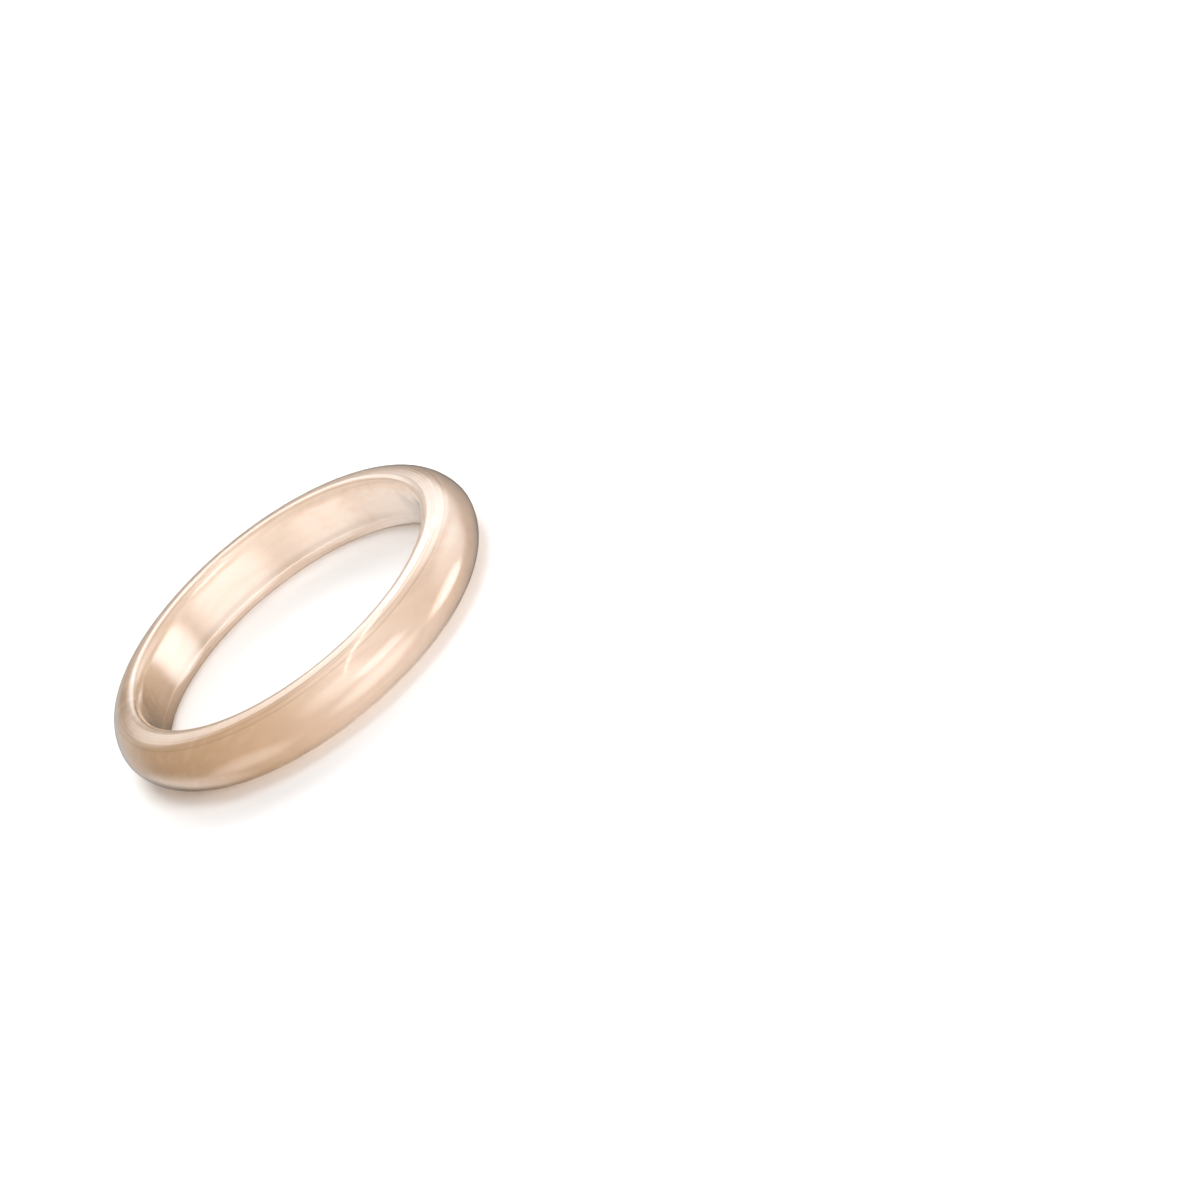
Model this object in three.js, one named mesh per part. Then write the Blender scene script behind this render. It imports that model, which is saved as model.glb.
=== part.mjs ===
// A plain bangle bracelet, ground and polished from one piece of satin glass.
// It has no joint, clasp or seam: a wall round the hole with well rounded edges, a narrow flat land
// on each rim, a soft ridge just outside the land, and a domed face out to the crown.
// Millimetres, +Z up. The bangle lies flat on its side. The origin is at the middle of the ring,
// on the surface that its lower land rests on.

import * as THREE from "three";

// Driving dimensions
const HOLE_DIAMETER = 59; // the clear round hole for the hand, at the middle of the wall
const BAND_THICKNESS = 7.5; // from the middle of the wall out to the crown of the dome
const BAND_WIDTH = 11.6; // from land to land, which is the height as it lies
const WALL_DEPTH = 1.7; // from the middle of the wall out to a land, over the rounded edge
const LAND_WIDTH = 0.4; // flat stretch of each rim, which meets the surface
const RIDGE_INSET = 3.4; // from the middle of the wall out to the ridge
const DOME_ROOT_INSET = 1.5; // from the middle of the wall out to where the dome's curve would begin

// The dome follows a full oval: its two exponents set how full its shoulders and its crown are.
const SHOULDER_POWER = 1.18;
const CROWN_POWER = 0.83;

// The wall follows a squarer one: its exponents set how upright it stands and how tight its edge is.
const WALL_FULLNESS = 0.4;
const EDGE_FULLNESS = 0.8;

// Fineness of the faceted surface
const ROUND_STEPS = 96;
const DOME_STEPS = 10;
const WALL_STEPS = 8;

const PEACH = 0xf1d3b0;
const POLISHED_ROUGHNESS = 0.12;

const holeRadius = HOLE_DIAMETER / 2;
const crownRadius = holeRadius + BAND_THICKNESS;
const halfWidth = BAND_WIDTH / 2;

// A point of the dome's curve: t is 0 at the crown and a quarter turn where the curve begins.
function domePoint(t) {
  const root = holeRadius + DOME_ROOT_INSET;
  return new THREE.Vector2(
    root + (crownRadius - root) * Math.cos(t) ** CROWN_POWER,
    halfWidth * Math.sin(t) ** SHOULDER_POWER,
  );
}

// The place on the dome's curve that lies at the ridge's radius.
function ridgeAngle() {
  const reach = (RIDGE_INSET - DOME_ROOT_INSET) / (BAND_THICKNESS - DOME_ROOT_INSET);
  return Math.acos(reach ** (1 / CROWN_POWER));
}

// The dome from the crown up to the ridge, crown first.
function domePoints() {
  const end = ridgeAngle();
  return Array.from({ length: DOME_STEPS + 1 }, (_, i) => domePoint((end * i) / DOME_STEPS));
}

// A point of the wall's curve: t is a quarter turn at the land and 0 at the middle of the wall.
function wallPoint(t) {
  return new THREE.Vector2(
    holeRadius + WALL_DEPTH * (1 - Math.cos(t) ** EDGE_FULLNESS),
    halfWidth * Math.sin(t) ** WALL_FULLNESS,
  );
}

// The wall from the land down towards its middle, land first. The last half step is left out: the
// lower half of the section begins as far below the middle, and one flat facet joins the two.
function wallPoints() {
  return Array.from({ length: WALL_STEPS + 1 }, (_, i) =>
    wallPoint((Math.PI / 2) * (1 - i / (WALL_STEPS + 0.5))),
  );
}

// The upper half of the band's section, from the crown over the ridge and the land to the wall.
function upperHalf() {
  const landEnd = new THREE.Vector2(holeRadius + WALL_DEPTH + LAND_WIDTH, halfWidth);
  return [...domePoints(), landEnd, ...wallPoints()];
}

// The whole section as a closed loop, lifted so that its lower land lies at height zero.
function sectionLoop() {
  const upper = upperHalf();
  const lower = upper
    .slice(1)
    .reverse()
    .map((p) => new THREE.Vector2(p.x, -p.y));
  const loop = [...upper, ...lower, upper[0]];
  return loop.map((p) => new THREE.Vector2(p.x, p.y + halfWidth));
}

// The bangle: its section turned once round the vertical axis.
function makeBangle() {
  const geometry = new THREE.LatheGeometry(sectionLoop(), ROUND_STEPS);
  const satinGlass = new THREE.MeshStandardMaterial({
    color: PEACH,
    roughness: POLISHED_ROUGHNESS,
    metalness: 0,
  });
  const bangle = new THREE.Mesh(geometry, satinGlass);
  bangle.name = "bangle";
  bangle.rotation.x = Math.PI / 2; // the lathe turns about Y, and the bangle stands on Z
  return bangle;
}

const bracelet = new THREE.Group();
bracelet.add(makeBangle());

export default bracelet;
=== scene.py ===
"""A plain bangle bracelet of peach satin glass, lying flat on a pale floor.

The bangle is one closed ring. Geometry Nodes draw its section from named sizes and turn it round
the axis of the hole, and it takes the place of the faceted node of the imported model. The glass is
milky and silky inside and polished outside. Everything is in metres, +Z up, with the origin at
the middle of the ring, on the floor.
"""

import logging
import math
from dataclasses import dataclass
from enum import Enum

import bpy
from mathutils import Matrix, Vector


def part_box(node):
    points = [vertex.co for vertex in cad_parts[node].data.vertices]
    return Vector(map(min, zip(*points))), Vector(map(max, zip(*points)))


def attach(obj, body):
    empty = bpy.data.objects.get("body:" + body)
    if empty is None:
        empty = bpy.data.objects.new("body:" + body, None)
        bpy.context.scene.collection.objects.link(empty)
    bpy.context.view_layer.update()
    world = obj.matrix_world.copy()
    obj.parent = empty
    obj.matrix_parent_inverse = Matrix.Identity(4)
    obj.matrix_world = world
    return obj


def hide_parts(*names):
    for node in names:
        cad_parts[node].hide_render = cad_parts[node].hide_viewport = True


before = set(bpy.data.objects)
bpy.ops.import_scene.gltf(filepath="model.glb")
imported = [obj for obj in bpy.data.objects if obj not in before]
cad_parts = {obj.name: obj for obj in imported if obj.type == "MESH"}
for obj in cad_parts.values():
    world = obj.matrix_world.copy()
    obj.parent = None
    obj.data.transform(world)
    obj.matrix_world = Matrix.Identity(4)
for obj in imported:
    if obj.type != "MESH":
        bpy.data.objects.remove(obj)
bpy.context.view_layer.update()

log = logging.getLogger("bangle")

CAD_NODE = "bangle"
MM = 0.001

# The photograph's frame, and where the ring lies in it
PHOTO_SIDE_PX = 1200
RING_CENTRE_PX = (295.0, 625.6)
CROWN_RADIUS_PX = 216.5
FOCAL_PX = 5500.0
SENSOR_WIDTH_MM = 36.0

Colour = tuple[float, float, float]
Triple = tuple[float, float, float]  # a place, or one factor for each axis


class Wiring:
    """Adds nodes to a tree and joins them, so that a formula takes one line a step."""

    def __init__(self, tree: bpy.types.NodeTree) -> None:
        """Keeps the tree.

        Args:
            tree: the node tree to add to.
        """
        self.tree = tree

    def add(self, kind: str, label: str = "", **settings: object) -> bpy.types.Node:
        """Adds one node.

        Args:
            kind: the node's type name.
            label: what the node does, shown in the editor.
            settings: the node's own properties.

        Returns:
            The new node.
        """
        node = self.tree.nodes.new(kind)
        node.label = label
        for name, value in settings.items():
            setattr(node, name, value)
        return node

    def feed(self, target: bpy.types.NodeSocket, value: object) -> None:
        """Joins a socket to an input, or sets a plain value on it.

        Args:
            target: the input socket.
            value: an output socket, or a number, colour or vector.
        """
        if isinstance(value, bpy.types.NodeSocket):
            self.tree.links.new(value, target)
        else:
            target.default_value = value

    def sum_up(self, operation: str, *values: object, label: str = "") -> bpy.types.NodeSocket:
        """Adds a math node.

        Args:
            operation: the math node's operation.
            values: its inputs, in order, as sockets or numbers.
            label: what the result is.

        Returns:
            The socket that holds the result.
        """
        node = self.add("ShaderNodeMath", label, operation=operation)
        for target, value in zip(node.inputs, values):
            self.feed(target, value)
        return node.outputs[0]

    def scale(self, vector: bpy.types.NodeSocket, factors: Triple) -> bpy.types.NodeSocket:
        """Multiplies a vector's three parts.

        Args:
            vector: the vector.
            factors: one factor for each part.

        Returns:
            The socket that holds the scaled vector.
        """
        node = self.add("ShaderNodeVectorMath", operation="MULTIPLY")
        self.feed(node.inputs[0], vector)
        self.feed(node.inputs[1], factors)
        return node.outputs[0]

    def distance(self, place: bpy.types.NodeSocket, middle: Triple, label: str) -> bpy.types.NodeSocket:
        """Measures how far a point is from a fixed place.

        Args:
            place: the point.
            middle: the fixed place.
            label: what is measured.

        Returns:
            The socket that holds the distance.
        """
        node = self.add("ShaderNodeVectorMath", label, operation="DISTANCE")
        self.feed(node.inputs[0], place)
        self.feed(node.inputs[1], middle)
        return node.outputs["Value"]

    def noise(self, vector: bpy.types.NodeSocket, scale: float, detail: float,
              label: str) -> bpy.types.NodeSocket:
        """Adds a noise texture.

        Args:
            vector: where it is looked up.
            scale: its grains for each unit of the vector.
            detail: its finer layers.
            label: what it draws.

        Returns:
            The socket that holds its value, about 0.5 on average.
        """
        node = self.add("ShaderNodeTexNoise", label)
        self.feed(node.inputs["Vector"], vector)
        self.feed(node.inputs["Scale"], scale)
        self.feed(node.inputs["Detail"], detail)
        return node.outputs[0]

    def ramp(self, value: bpy.types.NodeSocket, start: float, end: float) -> bpy.types.NodeSocket:
        """Rises smoothly from 0 to 1.

        Args:
            value: the number that it follows.
            start: the number at and before which the result is 0.
            end: the number from which on the result is 1.

        Returns:
            The socket that holds the result.
        """
        node = self.add("ShaderNodeMapRange", interpolation_type="SMOOTHSTEP")
        for name, number in {"Value": value, "From Min": start, "From Max": end}.items():
            self.feed(node.inputs[name], number)
        return node.outputs[0]

    def spread_out(self, noise: bpy.types.NodeSocket, middle: float,
                   spread: float) -> bpy.types.NodeSocket:
        """Turns a noise value into a number that lies round a middle.

        Args:
            noise: the noise, about 0.5 on average.
            middle: the result's middle.
            spread: the distance from the middle at which the noise would be 0 or 1.

        Returns:
            The socket that holds the number.
        """
        return self.sum_up("MULTIPLY_ADD", noise, 2 * spread, middle - spread)

    def blend(self, share: bpy.types.NodeSocket, first: object, second: object) -> bpy.types.NodeSocket:
        """Mixes two colours.

        Args:
            share: how much of the second one there is.
            first: a colour with its alpha, or a colour's socket.
            second: the same.

        Returns:
            The socket that holds the mixed colour.
        """
        node = self.add("ShaderNodeMix", data_type="RGBA")
        self.feed(node.inputs[0], share)
        self.feed(node.inputs[6], first)
        self.feed(node.inputs[7], second)
        return node.outputs[2]

    def relief(self, height: bpy.types.NodeSocket, distance: float, label: str,
               normal: bpy.types.NodeSocket | None = None) -> bpy.types.NodeSocket:
        """Turns a height into a bump.

        Args:
            height: the height, from 0 to 1.
            distance: what a height of 1 stands for, below 0 for a hollow.
            label: what stands out.
            normal: another bump underneath.

        Returns:
            The socket that holds the bumped normal.
        """
        node = self.add("ShaderNodeBump", label, invert=distance < 0)
        self.feed(node.inputs["Distance"], abs(distance))
        self.feed(node.inputs["Height"], height)
        if normal is not None:
            self.feed(node.inputs["Normal"], normal)
        return node.outputs[0]


@dataclass(frozen=True)
class Section:
    """The band's section: a rounded wall round the hole, a land and a ridge on each rim, and a dome.

    Attributes:
        crown_radius: from the ring's axis out to the crown of the dome.
        band_width: from the lower land to the upper one.
        hole_radius: from the ring's axis out to the middle of the wall round the hole.
        wall_depth: from there out to a land, over the wall's rounded edge.
        wall_fullness: exponent that sets how square the wall stands.
        edge_fullness: exponent that sets how tightly the wall's edge is rounded.
        land_width: flat stretch of a rim.
        ridge_inset: from the middle of the wall out to the ridge.
        dome_root_inset: from the middle of the wall out to where the dome's curve would begin.
        shoulder_power: exponent that sets how full the dome's shoulders are.
        crown_power: exponent that sets how full the dome's crown is.
        land_softness: rounding where the land turns down towards the ridge.
        ridge_softness: rounding along the ridge.
    """

    crown_radius: float
    band_width: float
    hole_radius: float = 29.5 * MM
    wall_depth: float = 1.7 * MM
    wall_fullness: float = 0.4
    edge_fullness: float = 0.8
    land_width: float = 0.4 * MM
    ridge_inset: float = 3.4 * MM
    dome_root_inset: float = 1.5 * MM
    shoulder_power: float = 1.18
    crown_power: float = 0.83
    land_softness: float = 2.5 * MM
    ridge_softness: float = 0.8 * MM

    @classmethod
    def from_frame(cls, node: str) -> "Section":
        """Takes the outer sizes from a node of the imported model.

        Args:
            node: the name of the ring's node.

        Returns:
            The section with that node's crown radius and width.
        """
        low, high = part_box(node)
        return cls(crown_radius=(high.x - low.x) / 2, band_width=high.z - low.z)

    def sizes(self) -> dict[str, float]:
        """The sizes by the names of the ring tree's inputs."""
        return {
            "Crown Radius": self.crown_radius,
            "Band Width": self.band_width,
            "Hole Radius": self.hole_radius,
            "Wall Depth": self.wall_depth,
            "Wall Fullness": self.wall_fullness,
            "Edge Fullness": self.edge_fullness,
            "Land Width": self.land_width,
            "Ridge Inset": self.ridge_inset,
            "Dome Root Inset": self.dome_root_inset,
            "Shoulder Power": self.shoulder_power,
            "Crown Power": self.crown_power,
            "Land Softness": self.land_softness,
            "Ridge Softness": self.ridge_softness,
        }


class RingTree:
    """The Geometry Nodes tree that draws a band's section and turns it into a closed ring."""

    CORNER_STEPS = 6

    def __init__(self, section: Section, round_steps: int, dome_steps: int, wall_steps: int) -> None:
        """Builds the tree.

        Args:
            section: the band's sizes, which become the tree's inputs.
            round_steps: steps round the ring.
            dome_steps: steps from the crown to a ridge.
            wall_steps: steps from a land to the middle of the wall.
        """
        self.counts = {"Round Steps": round_steps, "Dome Steps": dome_steps, "Wall Steps": wall_steps}
        self.section = section
        self.tree = bpy.data.node_groups.new("turned_ring", "GeometryNodeTree")
        self.wiring = Wiring(self.tree)
        self.identifiers: dict[str, str] = {}
        self._declare()
        self.inputs = self.wiring.add("NodeGroupInput").outputs
        self._build()

    def _declare(self) -> None:
        """Gives the tree its named inputs and its output."""
        face = self.tree.interface
        face.new_socket("Geometry", in_out="INPUT", socket_type="NodeSocketGeometry")
        for name in self.section.sizes():
            made = face.new_socket(name, in_out="INPUT", socket_type="NodeSocketFloat")
            self.identifiers[name] = made.identifier
        for name in self.counts:
            made = face.new_socket(name, in_out="INPUT", socket_type="NodeSocketInt")
            self.identifiers[name] = made.identifier
        made = face.new_socket("Glass", in_out="INPUT", socket_type="NodeSocketMaterial")
        self.identifiers["Glass"] = made.identifier
        face.new_socket("Geometry", in_out="OUTPUT", socket_type="NodeSocketGeometry")

    def _steps_from_crown(self) -> tuple[bpy.types.NodeSocket, bpy.types.NodeSocket]:
        """Numbers the section's points.

        Returns:
            How many steps a point is from the crown, and 1 above it or -1 below it.
        """
        w = self.wiring
        half_count = w.sum_up("ADD", self.inputs["Dome Steps"], self.inputs["Wall Steps"])
        half_count = w.sum_up("ADD", half_count, 2.0)
        index = w.add("GeometryNodeInputIndex").outputs[0]
        signed = w.sum_up("SUBTRACT", index, half_count)
        return w.sum_up("ABSOLUTE", signed), w.sum_up("SIGN", signed)

    def _dome(self, steps: bpy.types.NodeSocket) -> tuple[bpy.types.NodeSocket, bpy.types.NodeSocket]:
        """Works out the dome's curve from the crown to a ridge.

        Args:
            steps: how many steps a point is from the crown.

        Returns:
            The point's distance from the ring's axis, and from the middle of the band's width.
        """
        w, size = self.wiring, self.inputs
        root = w.sum_up("ADD", size["Hole Radius"], size["Dome Root Inset"])
        depth = w.sum_up("SUBTRACT", size["Crown Radius"], root)
        ridge_reach = w.sum_up("SUBTRACT", size["Ridge Inset"], size["Dome Root Inset"])
        ridge_share = w.sum_up("DIVIDE", ridge_reach, depth)
        power = w.sum_up("DIVIDE", 1.0, size["Crown Power"])
        ridge_angle = w.sum_up("ARCCOSINE", w.sum_up("POWER", ridge_share, power))
        on_dome = w.sum_up("MINIMUM", steps, size["Dome Steps"])
        share = w.sum_up("DIVIDE", on_dome, size["Dome Steps"])
        angle = w.sum_up("MULTIPLY", ridge_angle, share)
        fullness = w.sum_up("POWER", w.sum_up("COSINE", angle), size["Crown Power"])
        radius = w.sum_up("MULTIPLY_ADD", fullness, depth, root)
        rise = w.sum_up("POWER", w.sum_up("SINE", angle), size["Shoulder Power"])
        half_width = w.sum_up("MULTIPLY", size["Band Width"], 0.5)
        return radius, w.sum_up("MULTIPLY", rise, half_width)

    def _wall(self, steps: bpy.types.NodeSocket) -> tuple[bpy.types.NodeSocket, bpy.types.NodeSocket]:
        """Works out the wall's curve from a land to the middle of the wall.

        Args:
            steps: how many steps a point is from the land's inner end.

        Returns:
            The point's distance from the ring's axis, and from the middle of the band's width.
        """
        w, size = self.wiring, self.inputs
        land_start = w.sum_up("ADD", size["Hole Radius"], size["Wall Depth"])
        # Half a step is left at the middle, where the upper half meets the lower one
        whole = w.sum_up("ADD", size["Wall Steps"], 0.5)
        share = w.sum_up("DIVIDE", w.sum_up("MAXIMUM", steps, 0.0), whole)
        angle = w.sum_up("MULTIPLY", w.sum_up("SUBTRACT", 1.0, share), math.pi / 2)
        reach = w.sum_up("POWER", w.sum_up("COSINE", angle), size["Edge Fullness"])
        radius = w.sum_up("SUBTRACT", land_start, w.sum_up("MULTIPLY", reach, size["Wall Depth"]))
        rise = w.sum_up("POWER", w.sum_up("SINE", angle), size["Wall Fullness"])
        half_width = w.sum_up("MULTIPLY", size["Band Width"], 0.5)
        return radius, w.sum_up("MULTIPLY", rise, half_width)

    def _pick(self, test: bpy.types.NodeSocket, no: object, yes: object) -> bpy.types.NodeSocket:
        """Chooses between two numbers.

        Args:
            test: 1 or 0.
            no: the number for 0.
            yes: the number for 1.

        Returns:
            The socket that holds the choice.
        """
        node = self.wiring.add("GeometryNodeSwitch", input_type="FLOAT")
        self.wiring.feed(node.inputs[0], test)
        self.wiring.feed(node.inputs[1], no)
        self.wiring.feed(node.inputs[2], yes)
        return node.outputs[0]

    def _section_curve(self, path_radius: bpy.types.NodeSocket) -> bpy.types.NodeSocket:
        """Draws the whole section as one closed curve, with its corners rounded.

        Args:
            path_radius: the radius of the circle that the section is turned along.

        Returns:
            The curve.
        """
        w, size = self.wiring, self.inputs
        steps, above = self._steps_from_crown()
        past_dome = w.sum_up("SUBTRACT", steps, size["Dome Steps"])
        on_ridge = w.sum_up("COMPARE", past_dome, 0.0, 0.5)
        on_land = w.sum_up("COMPARE", past_dome, 1.0, 0.5)
        on_wall = w.sum_up("GREATER_THAN", past_dome, 1.5)
        half_width = w.sum_up("MULTIPLY", size["Band Width"], 0.5)
        land_start = w.sum_up("ADD", size["Hole Radius"], size["Wall Depth"])
        land_end = w.sum_up("ADD", land_start, size["Land Width"])

        radius, rise = self._dome(steps)
        wall_radius, wall_rise = self._wall(w.sum_up("SUBTRACT", past_dome, 2.0))
        radius = self._pick(on_land, radius, land_end)
        radius = self._pick(on_wall, radius, wall_radius)
        rise = self._pick(on_land, rise, half_width)
        rise = self._pick(on_wall, rise, wall_rise)

        rounding = w.sum_up("MULTIPLY", on_ridge, size["Ridge Softness"])
        rounding = self._pick(on_land, rounding, size["Land Softness"])

        both_curves = w.sum_up("ADD", size["Dome Steps"], size["Wall Steps"])
        count = w.sum_up("MULTIPLY_ADD", both_curves, 2.0, 5.0)
        points = w.add("GeometryNodeMeshLine", "section points", mode="OFFSET")
        w.feed(points.inputs["Count"], count)
        place = w.add("ShaderNodeCombineXYZ")
        w.feed(place.inputs["X"], w.sum_up("SUBTRACT", radius, path_radius))
        w.feed(place.inputs["Y"], w.sum_up("MULTIPLY", rise, above))
        moved = w.add("GeometryNodeSetPosition")
        w.feed(moved.inputs["Geometry"], points.outputs[0])
        w.feed(moved.inputs["Position"], place.outputs[0])
        keep_rounding = w.add("GeometryNodeCaptureAttribute", "rounding", domain="POINT")
        keep_rounding.capture_items.new("FLOAT", "Rounding")
        w.feed(keep_rounding.inputs[0], moved.outputs[0])
        w.feed(keep_rounding.inputs[1], rounding)
        curve = w.add("GeometryNodeMeshToCurve")
        w.feed(curve.inputs[0], keep_rounding.outputs[0])
        closed = w.add("GeometryNodeSetSplineCyclic")
        w.feed(closed.inputs["Geometry"], curve.outputs[0])
        w.feed(closed.inputs["Cyclic"], True)
        rounded = w.add("GeometryNodeFilletCurve", "rounded corners", mode="POLY")
        w.feed(rounded.inputs["Curve"], closed.outputs[0])
        w.feed(rounded.inputs["Count"], self.CORNER_STEPS)
        w.feed(rounded.inputs["Radius"], keep_rounding.outputs[1])
        w.feed(rounded.inputs["Limit Radius"], True)
        return rounded.outputs[0]

    def _build(self) -> None:
        """Turns the section round the ring's axis and lifts the ring onto the floor."""
        w, size = self.wiring, self.inputs
        both_radii = w.sum_up("ADD", size["Hole Radius"], size["Crown Radius"])
        path_radius = w.sum_up("MULTIPLY", both_radii, 0.5)
        path = w.add("GeometryNodeCurvePrimitiveCircle", "turning path", mode="RADIUS")
        w.feed(path.inputs["Resolution"], size["Round Steps"])
        w.feed(path.inputs["Radius"], path_radius)
        swept = w.add("GeometryNodeCurveToMesh", "turned section")
        w.feed(swept.inputs["Curve"], path.outputs[0])
        w.feed(swept.inputs["Profile Curve"], self._section_curve(path_radius))
        lifted = w.add("GeometryNodeTransform", "on the floor")
        w.feed(lifted.inputs["Geometry"], swept.outputs[0])
        lift = w.add("ShaderNodeCombineXYZ")
        w.feed(lift.inputs["Z"], w.sum_up("MULTIPLY", size["Band Width"], 0.5))
        w.feed(lifted.inputs["Translation"], lift.outputs[0])
        smooth = w.add("GeometryNodeSetShadeSmooth")
        w.feed(smooth.inputs["Geometry"], lifted.outputs[0])
        realized = w.add("GeometryNodeRealizeInstances")
        w.feed(realized.inputs[0], smooth.outputs[0])
        dressed = w.add("GeometryNodeSetMaterial")
        w.feed(dressed.inputs["Geometry"], realized.outputs[0])
        w.feed(dressed.inputs["Material"], size["Glass"])
        out = w.add("NodeGroupOutput")
        w.feed(out.inputs[0], dressed.outputs[0])

    def make(self, name: str, glass: bpy.types.Material) -> bpy.types.Object:
        """Runs the tree and keeps its result as a plain mesh.

        Args:
            name: the new piece's name.
            glass: the piece's material.

        Returns:
            The piece, with no modifier left on it.
        """
        piece = bpy.data.objects.new(name, bpy.data.meshes.new(name))
        bpy.context.scene.collection.objects.link(piece)
        modifier = piece.modifiers.new("turned_ring", "NODES")
        modifier.node_group = self.tree
        for key, value in {**self.section.sizes(), **self.counts, "Glass": glass}.items():
            modifier[self.identifiers[key]] = value
        bpy.context.view_layer.update()
        evaluated = piece.evaluated_get(bpy.context.evaluated_depsgraph_get())
        mesh = bpy.data.meshes.new_from_object(evaluated)
        piece.modifiers.remove(modifier)
        piece.data = mesh
        mesh.name = name
        return piece


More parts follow.
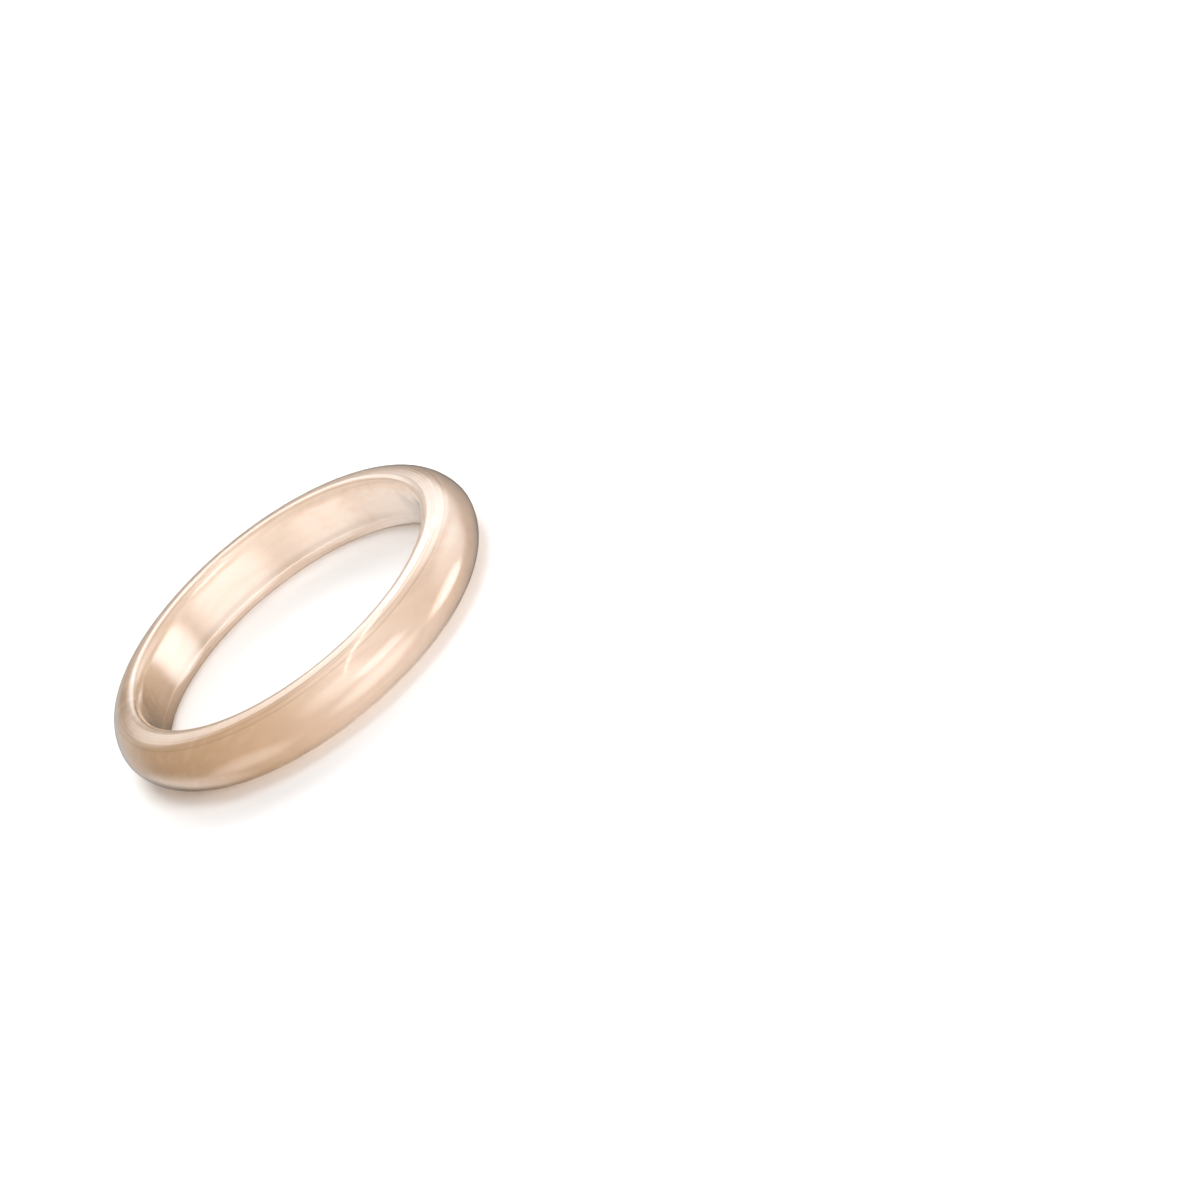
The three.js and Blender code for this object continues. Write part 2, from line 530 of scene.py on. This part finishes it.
@dataclass(frozen=True)
class SatinGlass:
    """Pale peach glass, silky and milky inside and polished outside, with shade painted into its tint.

    All lengths are in metres, and all scales count their grains for each metre.

    Attributes:
        pale: tint at the wall round the hole.
        peach: tint at the crown; the glass is peach, and it is deeper there as painted shade of the
            outer edges.
        amber: tint of the painted shade at the front left.
        umber: tint of the darkest painted shade, inside the left wall, and of the polishing lines.
        honey: tint of the fine fibres.
        peach_start: distance from the axis where the pale tint begins to turn peach.
        peach_full: distance from the axis where it is all peach.
        painted_shade_middle: middle of the amber painted shade at the front left.
        painted_shade_reach: how far the full amber reaches from there.
        painted_shade_fade: how far from there the last amber is gone.
        dark_shade_middle: middle of the darkest painted shade, a dark crescent inside the left wall.
        dark_shade_reach: how far the full umber reaches from there.
        dark_shade_fade: how far from there the last umber is gone.
        cloud_scale: clouds for each metre along the borders between the tints.
        cloud_shift: how far the clouds push those borders.
        fibre_scale: fibres for each metre along X, Y and Z, so that they run along X.
        fibre_edges: noise values from which and up to which a fibre comes in.
        fibre_strength: share of the honey tint in a full fibre.
        line_edges: noise values from which and up to which a polishing line comes in.
        line_strength: share of the umber tint in a full polishing line.
        milk: colour that the milk throws on.
        milk_density: how much milk there is for each metre.
        milk_forwardness: how far the milk throws light on rather than back.
        stain: colour that the stained glass lets through.
        stain_density: how much stain there is for each metre.
        silk_roughness: how soft the sheen and the light through the silk are.
        silk_unevenness: how much that softness differs from fibre to fibre.
        silk_relief: height of the fibres in the sheen.
        sheen: level of the silk's own gloss.
        sheen_stretch: how far the sheen is drawn out across the fibres.
        sheen_turn: turn of that stretch, in whole turns.
        polish_roughness: roughness of the polished surface.
        turning_scale: polishing lines for each metre across a rim.
        turning_relief: depth of the polishing lines.
        rim_start: height from the middle of the band's width where the lines begin.
        rim_full: height where they are at their full depth.
        pit_scale: places for a pit for each metre.
        pit_size: radius of a pit, as a share of its place.
        pit_rarity: share of the places that stay without a pit.
        pit_depth: depth of a pit.
        ior: refractive index.
        shadow_tint: colour of the light that the ring lets through to the floor.
        shadow_clearness: how much of the lamps' light reaches the floor through the ring.
    """

    pale: Colour = (1.0, 0.92, 0.83)
    peach: Colour = (0.98, 0.85, 0.73)
    amber: Colour = (0.69, 0.51, 0.32)
    umber: Colour = (0.52, 0.36, 0.21)
    honey: Colour = (0.86, 0.68, 0.50)
    # The glass's own peach, deepened towards the crown as painted shade of the outer edges
    peach_start: float = 29.0 * MM
    peach_full: float = 37.0 * MM
    # Painted shade: amber at the front left, where the ring is turned from the light
    painted_shade_middle: Triple = (-29.0 * MM, -10.0 * MM, 5.8 * MM)
    painted_shade_reach: float = 17.0 * MM
    painted_shade_fade: float = 46.0 * MM
    # Painted shade: the dark crescent inside the left wall, in umber
    dark_shade_middle: Triple = (-29.5 * MM, 6.0 * MM, 9.0 * MM)
    dark_shade_reach: float = 1.0 * MM
    dark_shade_fade: float = 10.0 * MM
    cloud_scale: float = 55.0
    cloud_shift: float = 9.0 * MM
    fibre_scale: Triple = (40.0, 620.0, 620.0)
    fibre_edges: tuple[float, float] = (0.45, 0.75)
    fibre_strength: float = 0.4
    line_edges: tuple[float, float] = (0.46, 0.6)
    line_strength: float = 0.4
    milk: Colour = (1.0, 0.985, 0.96)
    milk_density: float = 300.0
    milk_forwardness: float = 0.5
    stain: Colour = (0.94, 0.70, 0.46)
    stain_density: float = 47.0
    silk_roughness: float = 0.2
    silk_unevenness: float = 0.08
    silk_relief: float = 0.006 * MM
    sheen: float = 0.6
    sheen_stretch: float = 0.9
    sheen_turn: float = 0.25
    polish_roughness: float = 0.03
    turning_scale: float = 2600.0
    turning_relief: float = 0.03 * MM
    rim_start: float = 2.6 * MM
    rim_full: float = 5.4 * MM
    pit_scale: float = 700.0
    pit_size: float = 0.16
    pit_rarity: float = 0.9
    pit_depth: float = 0.03 * MM
    ior: float = 1.5
    shadow_tint: Colour = (1.0, 0.8, 0.72)
    shadow_clearness: float = 0.5

    def make(self, half_width: float) -> bpy.types.Material:
        """Builds the material.

        Args:
            half_width: half the width of the band, which is the height of its middle.

        Returns:
            The finished glass.
        """
        glass = bpy.data.materials.new("peach_satin_glass")
        glass.use_nodes = True
        glass.node_tree.nodes.clear()
        w = Wiring(glass.node_tree)
        place = w.add("ShaderNodeTexCoord").outputs["Object"]
        radius = self._radius(w, place)
        fibres = self._fibres(w, place)
        turning = self._turning(w, place, radius, half_width)
        lines = w.relief(turning, self.turning_relief, "polishing lines")
        fibre_way = w.add("ShaderNodeCombineXYZ", "fibre direction")
        w.feed(fibre_way.inputs["X"], 1.0)
        body = w.add("ShaderNodeBsdfPrincipled", "satin glass")
        for name, value in {
            "Base Color": self._tint(w, place, radius, fibres, turning),
            "Roughness": w.spread_out(fibres, self.silk_roughness, self.silk_unevenness),
            "IOR": self.ior,
            "Specular IOR Level": self.sheen,
            "Anisotropic": self.sheen_stretch,
            "Anisotropic Rotation": self.sheen_turn,
            "Transmission Weight": 1.0,
            "Coat Weight": 1.0,
            "Coat Roughness": self.polish_roughness,
            "Coat IOR": self.ior,
            "Tangent": fibre_way.outputs[0],
            "Normal": w.relief(fibres, self.silk_relief, "silk"),
            "Coat Normal": w.relief(self._pits(w, place), -self.pit_depth, "pits", lines),
        }.items():
            w.feed(body.inputs[name], value)
        out = w.add("ShaderNodeOutputMaterial")
        w.feed(out.inputs["Surface"], self._lit_through(w, body.outputs[0]))
        w.feed(out.inputs["Volume"], self._inside(w))
        return glass

    def _radius(self, w: Wiring, place: bpy.types.NodeSocket) -> bpy.types.NodeSocket:
        """Measures how far a point is from the ring's axis.

        Args:
            w: the material's wiring.
            place: the point on the ring.

        Returns:
            The distance.
        """
        level = w.add("ShaderNodeVectorMath", "distance from the axis", operation="LENGTH")
        w.feed(level.inputs[0], w.scale(place, (1.0, 1.0, 0.0)))
        return level.outputs["Value"]

    def _fibres(self, w: Wiring, place: bpy.types.NodeSocket) -> bpy.types.NodeSocket:
        """Draws the silk: long fine fibres along X.

        Args:
            w: the material's wiring.
            place: the point on the ring.

        Returns:
            0 to 1, high on a fibre.
        """
        stretched = w.scale(place, self.fibre_scale)
        return w.noise(stretched, scale=1.0, detail=3.0, label="fibres")

    def _tint(self, w: Wiring, place: bpy.types.NodeSocket, radius: bpy.types.NodeSocket,
              fibres: bpy.types.NodeSocket, turning: bpy.types.NodeSocket) -> bpy.types.NodeSocket:
        """Colours the glass.

        The pale glass turns deeper peach towards the crown, partly as painted shade of the outer edges.
        An amber patch with a cloudy border is painted shade at the front left, and a spot of umber is
        painted shade inside the left wall.
        Honey fibres run through all of it, and umber polishing lines run round the rims.

        Args:
            w: the material's wiring.
            place: the point on the ring.
            radius: its distance from the ring's axis.
            fibres: high on a fibre.
            turning: high on a polishing line.

        Returns:
            The tint.
        """
        clouds = w.noise(place, scale=self.cloud_scale, detail=2.0, label="clouds")
        shift = w.spread_out(clouds, 0.0, self.cloud_shift)
        # The glass's own tint, pale at the hole and deeper peach towards the crown; the deepening paints
        # shade on the outer edges
        peach_and_edge_shade = w.ramp(w.sum_up("ADD", radius, shift), self.peach_start, self.peach_full)
        tint = w.blend(peach_and_edge_shade, (*self.pale, 1.0), (*self.peach, 1.0))
        # Painted shade: amber at the front left, where the ring is turned from the light
        from_painted_shade = w.distance(place, self.painted_shade_middle, "distance from the painted shade")
        outside_painted_shade = w.ramp(w.sum_up("ADD", from_painted_shade, shift), self.painted_shade_reach, self.painted_shade_fade)
        tint = w.blend(outside_painted_shade, (*self.amber, 1.0), tint)
        # Painted shade: the dark crescent inside the left wall, in umber
        from_dark_shade = w.distance(place, self.dark_shade_middle, "distance from the darkest painted shade")
        outside_dark_shade = w.ramp(from_dark_shade, self.dark_shade_reach, self.dark_shade_fade)
        tint = w.blend(outside_dark_shade, (*self.umber, 1.0), tint)
        on_fibre = w.sum_up("MULTIPLY", w.ramp(fibres, *self.fibre_edges), self.fibre_strength)
        tint = w.blend(on_fibre, tint, (*self.honey, 1.0))
        on_line = w.sum_up("MULTIPLY", w.ramp(turning, *self.line_edges), self.line_strength)
        return w.blend(on_line, tint, (*self.umber, 1.0))

    def _turning(self, w: Wiring, place: bpy.types.NodeSocket, radius: bpy.types.NodeSocket,
                 half_width: float) -> bpy.types.NodeSocket:
        """Draws the fine lines that polishing left round the rims.

        Args:
            w: the material's wiring.
            place: the point on the ring.
            radius: its distance from the ring's axis.
            half_width: the height of the middle of the band.

        Returns:
            0 to 1 over the lines of the rims, and even elsewhere.
        """
        height = w.add("ShaderNodeSeparateXYZ")
        w.feed(height.inputs[0], place)
        across = w.add("ShaderNodeCombineXYZ", "place in the section")
        w.feed(across.inputs["X"], radius)
        w.feed(across.inputs["Y"], height.outputs["Z"])
        lines = w.noise(across.outputs[0], scale=self.turning_scale, detail=2.0, label="polishing lines")
        from_middle = w.sum_up("ABSOLUTE", w.sum_up("SUBTRACT", height.outputs["Z"], half_width))
        return w.sum_up("MULTIPLY", lines, w.ramp(from_middle, self.rim_start, self.rim_full))

    def _pits(self, w: Wiring, place: bpy.types.NodeSocket) -> bpy.types.NodeSocket:
        """Scatters a few tiny pits.

        Args:
            w: the material's wiring.
            place: the point on the ring.

        Returns:
            1 in a pit and 0 outside.
        """
        cells = w.add("ShaderNodeTexVoronoi", "places for pits", feature="F1")
        w.feed(cells.inputs["Vector"], place)
        w.feed(cells.inputs["Scale"], self.pit_scale)
        chance = w.add("ShaderNodeSeparateColor")
        w.feed(chance.inputs[0], cells.outputs["Color"])
        chosen = w.sum_up("GREATER_THAN", chance.outputs[0], self.pit_rarity)
        bowl = w.ramp(cells.outputs["Distance"], self.pit_size, 0.0)
        return w.sum_up("MULTIPLY", chosen, bowl)

    def _inside(self, w: Wiring) -> bpy.types.NodeSocket:
        """Fills the ring with milk and stain.

        Args:
            w: the material's wiring.

        Returns:
            The volume.
        """
        milk = w.add("ShaderNodeVolumeScatter", "milk")
        w.feed(milk.inputs["Color"], (*self.milk, 1.0))
        w.feed(milk.inputs["Density"], self.milk_density)
        w.feed(milk.inputs["Anisotropy"], self.milk_forwardness)
        stain = w.add("ShaderNodeVolumeAbsorption", "stain")
        w.feed(stain.inputs["Color"], (*self.stain, 1.0))
        w.feed(stain.inputs["Density"], self.stain_density)
        both = w.add("ShaderNodeAddShader")
        w.feed(both.inputs[0], milk.outputs[0])
        w.feed(both.inputs[1], stain.outputs[0])
        return both.outputs[0]

    def _lit_through(self, w: Wiring, surface: bpy.types.NodeSocket) -> bpy.types.NodeSocket:
        """Lets part of the lamps' light through to the floor, tinted, so that the shadow glows.

        Args:
            w: the material's wiring.
            surface: the glass itself.

        Returns:
            The surface with its light shadow.
        """
        through = w.add("ShaderNodeBsdfTransparent", "light through the ring")
        w.feed(through.inputs["Color"], (*self.shadow_tint, 1.0))
        path = w.add("ShaderNodeLightPath")
        share = w.sum_up("MULTIPLY", path.outputs["Is Shadow Ray"], self.shadow_clearness)
        mixed = w.add("ShaderNodeMixShader")
        w.feed(mixed.inputs[0], share)
        w.feed(mixed.inputs[1], surface)
        w.feed(mixed.inputs[2], through.outputs[0])
        return mixed.outputs[0]


@dataclass
class Bangle:
    """The bangle itself: one closed ring of glass.

    Attributes:
        section: the band's sizes.
        finish: the glass that it is made of.
        round_steps: steps round the ring.
        dome_steps: steps from the crown to a ridge.
        wall_steps: steps from a land to the middle of the wall.
    """

    section: Section
    finish: SatinGlass
    round_steps: int = 384
    dome_steps: int = 30
    wall_steps: int = 24

    def build(self) -> bpy.types.Object:
        """Makes the ring and puts it in the frame.

        Returns:
            The finished piece.
        """
        ring = RingTree(self.section, self.round_steps, self.dome_steps, self.wall_steps)
        piece = ring.make("peach_bangle", self.finish.make(self.section.band_width / 2))
        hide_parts(CAD_NODE)
        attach(piece, "root")
        return piece


@dataclass(frozen=True)
class PaleFloor:
    """A wide plain white floor.

    Attributes:
        radius: how far it reaches.
        shade: its colour.
        roughness: how matt it is.
    """

    radius: float = 4.0
    shade: Colour = (0.93, 0.93, 0.93)
    roughness: float = 0.9

    def build(self) -> bpy.types.Object:
        """Makes the floor.

        Returns:
            The floor.
        """
        mesh = bpy.data.meshes.new("floor")
        r = self.radius
        mesh.from_pydata([(-r, -r, 0), (r, -r, 0), (r, r, 0), (-r, r, 0)], [], [(0, 1, 2, 3)])
        floor = bpy.data.objects.new("floor", mesh)
        bpy.context.scene.collection.objects.link(floor)
        white = bpy.data.materials.new("white_floor")
        white.use_nodes = True
        body = white.node_tree.nodes["Principled BSDF"]
        body.inputs["Base Color"].default_value = (*self.shade, 1.0)
        body.inputs["Roughness"].default_value = self.roughness
        body.inputs["Specular IOR Level"].default_value = 0.0
        mesh.materials.append(white)
        floor.visible_glossy = False  # a white floor would wash out the ring's lower edge
        return floor


def direction(azimuth: float, elevation: float) -> Vector:
    """Turns a bearing into a vector.

    Args:
        azimuth: degrees from +X towards +Y.
        elevation: degrees above the floor.

    Returns:
        The unit vector that points there.
    """
    a, e = math.radians(azimuth), math.radians(elevation)
    return Vector((math.cos(a) * math.cos(e), math.sin(a) * math.cos(e), math.sin(e)))


class Reach(Enum):
    """What a light does to the ring."""

    BODY = "it shines through, without a reflection"
    GLOSS = "it shows as a reflection only"


@dataclass(frozen=True)
class SoftBox:
    """A rectangular studio light that faces the ring.

    Attributes:
        name: what it does.
        azimuth: its bearing from the ring in degrees, 0 along +X and 90 along +Y.
        elevation: its height above the floor in degrees.
        distance: from the ring to the light.
        width: its level side.
        height: its other side.
        radiance: how bright its face is.
        reach: what it does to the ring.
        turn: how far it is turned about the line to the ring, in degrees.
    """

    name: str
    azimuth: float
    elevation: float
    distance: float
    width: float
    height: float
    radiance: float
    reach: Reach = Reach.BODY
    turn: float = 0.0

    def build(self) -> bpy.types.Object:
        """Makes the light.

        Returns:
            The light's object.
        """
        light = bpy.data.lights.new(self.name, "AREA")
        light.shape = "RECTANGLE"
        light.size = self.width
        light.size_y = self.height
        light.energy = self.radiance * self.width * self.height * math.pi
        piece = bpy.data.objects.new(self.name, light)
        bpy.context.scene.collection.objects.link(piece)
        out = direction(self.azimuth, self.elevation)
        facing = out.to_track_quat("Z", "Y").to_matrix().to_4x4()
        roll = Matrix.Rotation(math.radians(self.turn), 4, "Z")
        piece.matrix_world = Matrix.Translation(out * self.distance) @ facing @ roll
        piece.visible_camera = False
        piece.visible_glossy = self.reach is Reach.GLOSS
        piece.visible_diffuse = self.reach is Reach.BODY
        piece.visible_transmission = self.reach is Reach.BODY
        piece.visible_volume_scatter = self.reach is Reach.BODY
        return piece


@dataclass(frozen=True)
class WallGlow:
    """A soft bright patch of the room round the ring.

    Attributes:
        azimuth: its bearing from the ring in degrees.
        elevation: its height above the floor in degrees.
        reach: how many degrees from its middle it fades out.
        strength: how bright its middle is.
    """

    azimuth: float
    elevation: float
    reach: float
    strength: float

    def patch(self, w: Wiring, view: bpy.types.NodeSocket) -> bpy.types.NodeSocket:
        """Draws the patch.

        Args:
            w: the room's wiring.
            view: the direction looked in.

        Returns:
            The brightness that the patch adds.
        """
        towards = w.add("ShaderNodeVectorMath", operation="DOT_PRODUCT")
        w.feed(towards.inputs[0], view)
        w.feed(towards.inputs[1], direction(self.azimuth, self.elevation))
        inside = w.ramp(towards.outputs["Value"], math.cos(math.radians(self.reach)), 1.0)
        return w.sum_up("MULTIPLY", inside, self.strength)


class Studio:
    """The plain floor, the soft lights, the pale room and the camera.

    The floor doesn't show in the ring's polish, so the room's glows also lie below its level.
    """

    LIGHTS = (
        SoftBox("front_fill", azimuth=-65, elevation=15, distance=1.0, width=0.5, height=0.3,
                radiance=11.2),
        SoftBox("top", azimuth=0, elevation=88, distance=1.0, width=0.5, height=0.5, radiance=4.6),
        SoftBox("back", azimuth=90, elevation=30, distance=1.2, width=0.5, height=0.5, radiance=5.6),
        SoftBox("back_left", azimuth=116, elevation=20, distance=1.0, width=0.5, height=0.3,
                radiance=3.8),
        SoftBox("front_window", azimuth=-56, elevation=9, distance=1.1, width=0.46, height=0.14,
                radiance=1.3, reach=Reach.GLOSS),
        SoftBox("ridge_line", azimuth=75, elevation=36, distance=1.0, width=0.45, height=0.04,
                radiance=6.0, reach=Reach.GLOSS),
        SoftBox("streak", azimuth=0, elevation=82, distance=1.0, width=0.04, height=2.2,
                radiance=7.0, reach=Reach.GLOSS, turn=90),
    )
    ROOM = (
        WallGlow(azimuth=270, elevation=28, reach=28, strength=2.0),
        WallGlow(azimuth=280, elevation=50, reach=32, strength=0.7),
        WallGlow(azimuth=38, elevation=28, reach=32, strength=1.5),
        WallGlow(azimuth=10, elevation=9, reach=30, strength=2.1),
        WallGlow(azimuth=66, elevation=38, reach=30, strength=2.6),
        WallGlow(azimuth=108, elevation=37, reach=20, strength=1.9),
        WallGlow(azimuth=352, elevation=-20, reach=23, strength=5.6),
        WallGlow(azimuth=291, elevation=-24, reach=36, strength=3.4),
        WallGlow(azimuth=209, elevation=-23, reach=32, strength=1.9),
        WallGlow(azimuth=157, elevation=-32, reach=30, strength=1.0),
        WallGlow(azimuth=122, elevation=-6, reach=32, strength=0.5),
    )
    ROOM_SHADE = 0.14
    VOLUME_BOUNCES = 7
    GLASS_BOUNCES = 11
    # Degrees between the view and the ring's plane, and that its axis leans left in the picture
    RING_TILT = 25.7
    RING_LEAN = 38.4

    def __init__(self, section: Section) -> None:
        """Keeps the section, which sets the camera's distance.

        Args:
            section: the band's sizes.
        """
        self.section = section

    def build(self) -> None:
        """Makes the floor, the lights, the room and the camera."""
        PaleFloor().build()
        for light in self.LIGHTS:
            light.build()
        self._room()
        self._camera()
        scene = bpy.context.scene
        scene.view_settings.view_transform = "Standard"
        # Milky glass needs light to be thrown on many times inside it
        scene.cycles.max_bounces = self.GLASS_BOUNCES
        scene.cycles.transmission_bounces = self.GLASS_BOUNCES
        scene.cycles.volume_bounces = self.VOLUME_BOUNCES

    def _room(self) -> None:
        """Sets the soft light from all round."""
        world = bpy.data.worlds.new("pale_room")
        world.use_nodes = True
        w = Wiring(world.node_tree)
        view = w.add("ShaderNodeTexCoord").outputs["Generated"]
        brightness = self.ROOM_SHADE
        for glow in self.ROOM:
            brightness = w.sum_up("ADD", glow.patch(w, view), brightness)
        sky = world.node_tree.nodes["Background"]
        w.feed(sky.inputs["Color"], (1.0, 1.0, 1.0, 1.0))
        w.feed(sky.inputs["Strength"], brightness)
        bpy.context.scene.world = world

    def _camera(self) -> None:
        """Places the camera at the photograph's angle to the ring, with the ring at its place in it."""
        lens = bpy.data.cameras.new("camera")
        lens.sensor_width = SENSOR_WIDTH_MM
        lens.lens = FOCAL_PX / PHOTO_SIDE_PX * SENSOR_WIDTH_MM
        tilt, lean = math.radians(self.RING_TILT), math.radians(self.RING_LEAN)
        back = Vector((0.0, -math.cos(tilt), math.sin(tilt)))
        level_right = Vector((1.0, 0.0, 0.0))
        level_up = back.cross(level_right)
        right = level_right * math.cos(lean) - level_up * math.sin(lean)
        up = level_right * math.sin(lean) + level_up * math.cos(lean)
        depth = self.section.crown_radius * FOCAL_PX / CROWN_RADIUS_PX
        across = (RING_CENTRE_PX[0] - PHOTO_SIDE_PX / 2) / FOCAL_PX * depth
        below = (RING_CENTRE_PX[1] - PHOTO_SIDE_PX / 2) / FOCAL_PX * depth
        middle = Vector((0.0, 0.0, self.section.band_width / 2))
        place = middle + back * depth - right * across + up * below
        camera = bpy.data.objects.new("camera", lens)
        bpy.context.scene.collection.objects.link(camera)
        axes = Matrix((right, up, back)).transposed().to_4x4()
        camera.matrix_world = Matrix.Translation(place) @ axes
        bpy.context.scene.camera = camera


def main() -> None:
    """Builds the studio and the bangle, and reports each piece."""
    logging.basicConfig(level=logging.INFO, format="%(name)s: %(message)s")
    section = Section.from_frame(CAD_NODE)
    Studio(section).build()
    log.info("studio ready")
    piece = Bangle(section, SatinGlass()).build()
    log.info("%s: %d faces", piece.name, len(piece.data.polygons))


if __name__ == "__main__":
    main()
